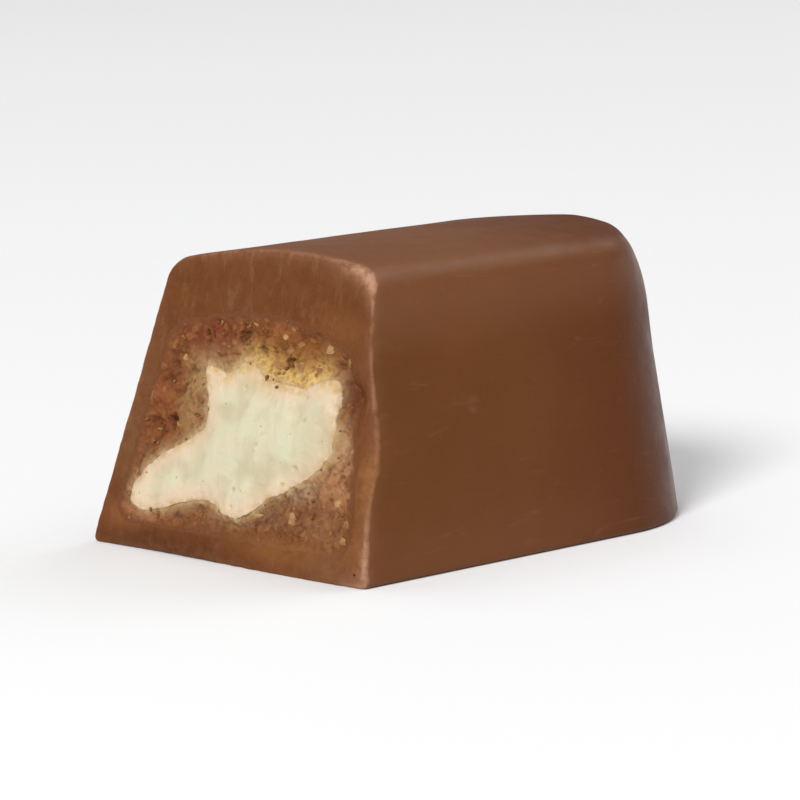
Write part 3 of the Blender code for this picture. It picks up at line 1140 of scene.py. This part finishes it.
# Bands of the outside: axis, from and to in millimetres, and the values there
# painted bounce light from the floor on the foot, and a painted highlight along the shoulders
FOOT_PAINTED_BOUNCE = ("Z", 0.0, 5.0, 0.5, 0.0)
SHOULDER_PAINTED_HIGHLIGHT = ("Z", 11.0, 14.8, 0.0, 1.0)
# painted shade growing towards the far end, less on the shoulder's band
FAR_PAINTED_SHADE = ("Y", -4.0, 12.0, 0.0, 0.8)
FAR_WALL = ("Z", 11.0, 15.0, 1.0, 0.35)
FAR_TOP = ("Z", 15.7, 16.4, 0.0, 1.0)
TOP_ROUGHER = ("Z", 16.0, 16.5, 0.0, 0.2)
CUT_SHADES = [
    # patches of the cut chocolate: place and spread as (x, z) in millimetres, colour, share
    # painted shadow along the base of the cut
    ((-4.6, 0.3), (5.4, 0.9), (0.066, 0.017, 0.0015), 1.0),
    ((-7.6, 1.8), (1.6, 0.8), (0.23, 0.078, 0.026), 0.7),
    ((4.2, 1.3), (3.4, 0.8), CHOCOLATE_CUT_WARM, 0.95),
    ((7.2, 0.9), (1.8, 0.9), (0.165, 0.067, 0.026), 0.85),
    ((8.9, 5.6), (1.2, 1.9), (0.215, 0.085, 0.0225), 0.95),
    ((8.6, 2.0), (1.0, 1.2), (0.195, 0.068, 0.018), 0.85),
    ((-8.0, 5.6), (0.8, 2.9), (0.145, 0.066, 0.022), 0.8),
    ((-7.0, 9.6), (0.8, 2.2), (0.145, 0.066, 0.022), 0.7),
    ((5.4, 13.0), (2.0, 1.0), (0.175, 0.062, 0.015), 0.7),
]


def outside_colour(paint, scuffs):
    """The moulded skin: painted bounce light at the foot, a painted highlight on the shoulders, painted shade
    towards the far end, scuffed.
    """
    colour = paint.mix(CHOCOLATE_OUT, CHOCOLATE_OUT_DEEP, paint.patches(5.0, detail=4.0, roughness=0.6))
    # painted light: bounce at the foot, highlight on the shoulders
    colour = paint.mix(colour, CHOCOLATE_OUT_PAINTED_LIGHT, paint.along(*FOOT_PAINTED_BOUNCE))
    colour = paint.mix(colour, CHOCOLATE_OUT_PAINTED_LIGHT, paint.along(*SHOULDER_PAINTED_HIGHLIGHT))
    # painted shade towards the far end, kept off the shoulder
    off_the_shoulder = paint.highest(paint.along(*FAR_WALL), paint.along(*FAR_TOP))
    colour = paint.mix(colour, CHOCOLATE_OUT_FAR_SHADE, paint.along(*FAR_PAINTED_SHADE), off_the_shoulder)
    colour = paint.mix(colour, CHOCOLATE_WEAR_AND_HIGHLIGHT, scuffs)
    return paint.mix(colour, CHOCOLATE_SPECK, paint.dots(0.8, core=0.04, edge=0.1, inside=0.3))


def cut_colour(paint, mottle):
    """The cut chocolate: mottled, with drag marks, grit and broad patches, the first of them a painted shadow
    along the base.
    """
    colour = paint.mix(CHOCOLATE_CUT, CHOCOLATE_CUT_DEEP, mottle)
    drags = paint.patches(0.5, 0.5, 0.72, end=0.13, stretch=(1.0, 1.0, 6.0), distortion=0.9)
    colour = paint.mix(colour, CHOCOLATE_WEAR_AND_HIGHLIGHT, drags)
    colour = paint.mix(colour, CHOCOLATE_SPECK, paint.patches(0.16, 0.5, 0.75, end=0.3, detail=4.0))
    breakup = paint.patches(0.8, 0.34, 0.62, start=0.35)
    for centre, spread, shade, share in CUT_SHADES:
        colour = paint.mix(colour, shade, paint.bell(centre, spread), breakup, share)
    return colour


def chocolate_paint():
    paint = Paint("milk_chocolate_skin", 0.14, soft=0.1, radius=(1.0, 0.35, 0.15), depth=0.8)
    cut = paint.mask("cut")
    scuffs = paint.patches(0.7, 0.56, 0.76, end=0.1, stretch=(1.2, 5.0, 1.0), distortion=0.8)
    mottle = paint.patches(1.2, roughness=0.65)
    colour = paint.mix(outside_colour(paint, scuffs), cut_colour(paint, mottle), cut)
    # the rim mask lays pale wear and a painted highlight along the cut's edge
    colour = paint.mix(colour, CHOCOLATE_WEAR_AND_HIGHLIGHT, paint.mask("rim"), paint.patches(0.9, 0.34, 0.62, start=0.25))
    gloss = paint.patches(1.8, start=0.31, end=0.45, roughness=0.65)
    gloss = paint.total(gloss, paint.product(scuffs, 1.5), paint.along(*TOP_ROUGHER))
    matt = paint.between(mottle, 0.0, 1.0, start=0.48, end=0.64)
    roughness = paint.between(cut, 0.0, 1.0, start=gloss, end=matt)
    pores = paint.dots(1.7, core=0.035, edge=0.075, inside=0.0, outside=1.0)
    normal = paint.bump(pores, 0.05, strength=0.7)
    scratches = paint.noise(0.1, detail=3.0, roughness=0.6, stretch=(1.5, 26.0, 1.0), distortion=0.5)
    scratches = paint.between(scratches, 0.62, 0.72)
    peel = paint.total(paint.noise(0.5, detail=4.0, roughness=0.55), paint.product(scratches, -0.3))
    normal = paint.bump(peel, 0.016, under=normal)
    normal = paint.bump(paint.product(paint.noise(0.2), cut), 0.06, under=normal)
    return paint.finish(colour, roughness, normal)


PRALINE = (0.192, 0.061, 0.0145)
PRALINE_DARK = (0.130, 0.035, 0.0065)
PRALINE_LIGHT = (0.32, 0.14, 0.035)
PRALINE_GOLD = (0.72, 0.47, 0.125)
PRALINE_SMEAR = (0.46, 0.33, 0.17)
PRALINE_HOLLOW_SHADE = (0.07, 0.016, 0.002)
WARM_FOOT = ((4.4, 1.5), (3.6, 0.9))
SHADE_DEEPER = 0.78
PRALINE_SHADES = [
    # the filling's own patches: place and spread as (x, z) in millimetres, colour, share
    ((2.4, 11.5), (3.0, 0.8), (0.21, 0.067, 0.007), 0.92),
    ((-3.6, 12.2), (2.6, 1.1), (0.157, 0.025, 0.005), 0.94),
    ((1.2, 12.6), (3.2, 0.8), (0.205, 0.056, 0.0065), 0.85),
    ((-4.6, 9.9), (1.0, 1.1), (0.40, 0.235, 0.095), 0.7),
    ((6.6, 6.9), (1.2, 1.7), (0.42, 0.245, 0.12), 0.9),
    # painted shade in the pit right of the cream
    ((6.8, 9.6), (1.2, 1.3), (0.115, 0.02, 0.0015), 0.97),
    ((-6.2, 7.6), (1.2, 2.4), (0.23, 0.062, 0.011), 0.85),
    ((-4.3, 8.2), (0.9, 1.9), (0.33, 0.195, 0.07), 0.75),
    ((-6.8, 1.8), (2.6, 0.7), (0.38, 0.115, 0.04), 0.95),
    ((2.7, 3.0), (1.9, 0.8), (0.155, 0.064, 0.025), 0.85),
    ((6.4, 2.7), (2.4, 0.9), (0.225, 0.095, 0.036), 0.85),
    ((4.7, 4.5), (1.2, 0.8), (0.38, 0.24, 0.14), 0.85),
    ((7.1, 4.9), (1.6, 1.2), (0.42, 0.2, 0.09), 0.9),
]


def praline_paint():
    paint = Paint("nut_praline_crumb", 0.25, soft=0.12, radius=(1.0, 0.4, 0.15), depth=0.6)
    mottle = paint.patches(0.6, roughness=0.65)
    colour = paint.mix(PRALINE, PRALINE_DARK, mottle)
    breakup = paint.patches(0.8, high=0.6, start=0.55, detail=4.0)
    for centre, spread, shade, share in PRALINE_SHADES:
        mottled = paint.mix(shade, tuple(SHADE_DEEPER * channel for channel in shade), mottle)
        colour = paint.mix(colour, mottled, paint.bell(centre, spread), breakup, share)
    honeycomb = paint.patches(0.5, 0.36, 0.58, start=0.45)
    colour = paint.mix(colour, PRALINE_GOLD, paint.mask("golden"), honeycomb)
    smeared = paint.patches(0.6, 0.35, 0.62, start=0.5, detail=4.0, roughness=0.6)
    colour = paint.mix(colour, PRALINE_SMEAR, paint.mask("film"), smeared, 0.95)
    grain = paint.node("SeparateColor", {0: paint.cells(0.3, "Color")})
    colour = paint.mix(colour, PRALINE_LIGHT, paint.between(grain["Red"], 0.6, 1.0, end=0.4))
    colour = paint.mix(colour, PRALINE_DARK, paint.between(grain["Green"], 0.7, 1.0, end=0.4))
    colour = paint.mix(colour, PRALINE_LIGHT, paint.mask("raised"), 0.2)
    # painted shade in the hollows of the grain
    colour = paint.mix(colour, PRALINE_HOLLOW_SHADE, paint.mask("hollow"), 0.6)
    rim = paint.mix(CHOCOLATE_CUT, CHOCOLATE_CUT_WARM, paint.bell(*WARM_FOOT))
    by_shell = paint.between(paint.mask("from_shell"), 0.05, 0.75, 1.0, 0.0)
    torn = paint.patches(0.45, 0.36, 0.6, detail=4.0)
    rubbed = paint.between(paint.mask("from_shell"), 0.1, 0.35, 1.0, torn)
    colour = paint.mix(colour, rim, by_shell, rubbed)
    roughness = paint.patches(0.6, start=0.5, end=0.75, detail=3.0, roughness=0.5)
    height = paint.total(paint.noise(0.2), paint.product(paint.cells(0.2), 0.5))
    return paint.finish(colour, roughness, paint.bump(height, 0.09))


CREAM = (0.525, 0.51, 0.352)
CREAM_WARM = (0.59, 0.46, 0.325)
CREAM_STAIN = (0.45, 0.28, 0.12)
CREAM_GILT = (0.52, 0.36, 0.15)
CREAM_HOLLOW_SHADE = (0.43, 0.35, 0.21)
CREAM_SHADE = (0.41, 0.35, 0.21)
CREAM_SHADED = ((5.4, 7.4), (1.5, 2.6))
CREAM_GILDED = [
    # corners that the golden praline stains: place and spread as (x, z), share
    ((-2.1, 10.0), (0.8, 0.7), 0.8),
    ((6.4, 10.0), (0.8, 0.9), 0.7),
]


def cream_paint():
    paint = Paint("ivory_cream_heart", 0.4, soft=0.5, radius=(1.0, 0.75, 0.4), depth=0.7)
    inside = paint.mask("inside")
    broad = paint.patches(2.0, 0.35, 0.65, end=0.35, detail=4.0, roughness=0.6)
    edge = paint.between(inside, 0.2, 1.8, 1.0, 0.0)
    colour = paint.mix(CREAM, CREAM_WARM, paint.highest(broad, edge))
    colour = paint.mix(colour, CREAM_SHADE, paint.bell(*CREAM_SHADED), 0.45)
    # painted shade in the creases and pores
    colour = paint.mix(colour, CREAM_HOLLOW_SHADE, paint.mask("hollow"), 0.55)
    corners = [paint.product(paint.bell(centre, spread), share) for centre, spread, share in CREAM_GILDED]
    torn = paint.patches(0.6, 0.36, 0.62, start=0.1)
    colour = paint.mix(colour, CREAM_GILT, paint.highest(paint.mask("gilded"), *corners), torn)
    colour = paint.mix(colour, CREAM_STAIN, paint.between(inside, 0.0, 0.55, 0.85, 0.0), torn)
    colour = paint.mix(colour, PRALINE_LIGHT, paint.dots(0.7, core=0.05, edge=0.1, inside=0.6))
    roughness = paint.patches(0.9, start=0.34, end=0.52, detail=4.0, roughness=0.6)
    drawn = paint.noise(0.5, detail=3.0, roughness=0.6, stretch=(1.0, 1.0, 6.0))
    height = paint.total(paint.noise(0.3, detail=4.0, roughness=0.6), drawn)
    return paint.finish(colour, roughness, paint.bump(height, 0.06))


NUT = (0.26, 0.115, 0.035)
NUT_PALE = (0.42, 0.245, 0.09)
NUT_SKIN = (0.15, 0.048, 0.011)
CRUMB_DARK = (0.16, 0.05, 0.011)
CRUMB_LIGHT = (0.32, 0.15, 0.05)


def nut_paint(name, dark, light):
    paint = Paint(name, 0.3, soft=0.2, radius=(1.0, 0.6, 0.3), depth=0.4)
    colour = paint.mix(dark, light, paint.mask("tone"))
    colour = paint.mix(colour, NUT_SKIN, paint.patches(0.35, 0.42, 0.6, end=0.6))
    roughness = paint.patches(0.3, start=0.45, end=0.65, detail=3.0, roughness=0.5)
    return paint.finish(colour, roughness, paint.bump(paint.noise(0.15, detail=4.0, roughness=0.65), 0.05))


# ---- stage, light and camera

STAGE_RADIUS = 0.7
STAGE_RINGS = (0.0, 0.05, 0.2, STAGE_RADIUS)
STAGE_SIDES = 96
SWEEP_RADIUS = 0.5
SWEEP_TURN = math.radians(45)
SWEEP_STEPS = 16
STAGE_COLOUR = (0.87, 0.87, 0.873)
STAGE_MOTTLE = 0.985
WORLD_STRENGTH = 0.3
LIT_AT = (0.0, 0.0, 8 * MM)
LIGHTS = [
    # name, place and width in metres, power in watts
    ("key", (0.38, -0.92, 0.74), 0.4, 14.6),
    ("top", (-0.45, 0.1, 0.95), 0.45, 1.2),
    ("back", (0.1, 0.72, 0.72), 0.8, 3.2),
]


def make_stage():
    """A pale round floor that sweeps up at its rim, so that no horizon shows."""
    profile = [(radius, 0.0) for radius in STAGE_RINGS]
    for step in range(1, SWEEP_STEPS + 1):
        turn = SWEEP_TURN * step / SWEEP_STEPS
        profile.append((STAGE_RADIUS + SWEEP_RADIUS * math.sin(turn), SWEEP_RADIUS * (1 - math.cos(turn))))
    turns = np.linspace(0.0, 2 * math.pi, STAGE_SIDES, endpoint=False)
    rows = [columns(*around((0.0, 0.0), turns, r), np.full(STAGE_SIDES, z)) for r, z in profile]
    skin = Skin()
    skin.grid(rows, wrap=True)
    floor = linked("pale_floor", skin.weld("pale_floor"))
    paint = Paint("pale_floor", 0.2)
    darker = tuple(STAGE_MOTTLE * channel for channel in STAGE_COLOUR)
    tint = paint.mix(STAGE_COLOUR, darker, paint.noise(60.0, detail=3.0, roughness=0.5))
    normal = paint.bump(paint.noise(3.0, detail=3.0, roughness=0.5), 0.01)
    floor.data.materials.append(paint.finish(tint, 0.7, normal))


def aim(thing, place, target):
    """Puts a light or the camera at place, facing target."""
    thing.location = place
    thing.rotation_euler = (Vector(target) - Vector(place)).to_track_quat("-Z", "Y").to_euler()


def make_lights():
    world = bpy.data.worlds.new("studio")
    world.use_nodes = True
    background = world.node_tree.nodes["Background"]
    background.inputs["Color"].default_value = (1.0, 1.0, 1.0, 1.0)
    background.inputs["Strength"].default_value = WORLD_STRENGTH
    bpy.context.scene.world = world
    for name, place, width, power in LIGHTS:
        data = bpy.data.lights.new(name, "AREA")
        data.shape = "DISK"
        data.size = width
        data.energy = power
        aim(linked(name, data), place, LIT_AT)


def make_camera():
    data = bpy.data.cameras.new("camera")
    data.lens = LENS
    data.clip_start = CLIP_START
    data.clip_end = CLIP_END
    camera = linked("camera", data)
    aim(camera, CAMERA_AT, CAMERA_AIM)
    bpy.context.scene.camera = camera


def make_praline():
    shell = shell_mesh()
    shell_relief(shell)
    piece_from(shell, chocolate_paint(), "milk_chocolate", "chocolate_shell")
    filling = filling_mesh()
    filling_relief(filling)
    piece_from(filling, praline_paint(), "nut_praline", "praline_filling")
    cream = cream_mesh()
    cream_relief(cream)
    piece_from(cream, cream_paint(), "ivory_cream", "cream_centre")
    nuts_at = nut_places(seed=81, count=24)
    nuts = chips_mesh("nut_chips", 83, *nuts_at, proud=0.06 * MM, sunk=0.25, subdivisions=3)
    piece_from(nuts, nut_paint("nut_chips", NUT, NUT_PALE), "nut_praline")
    crumbs_at = crumb_places(seed=87, count=130)
    crumbs = chips_mesh("loose_crumbs", 89, *crumbs_at, proud=0.16 * MM, sunk=0.05, subdivisions=2)
    piece_from(crumbs, nut_paint("praline_crumbs", CRUMB_DARK, CRUMB_LIGHT), "nut_praline")


make_praline()
make_stage()
make_lights()
make_camera()
bpy.context.scene.view_settings.view_transform = "Standard"
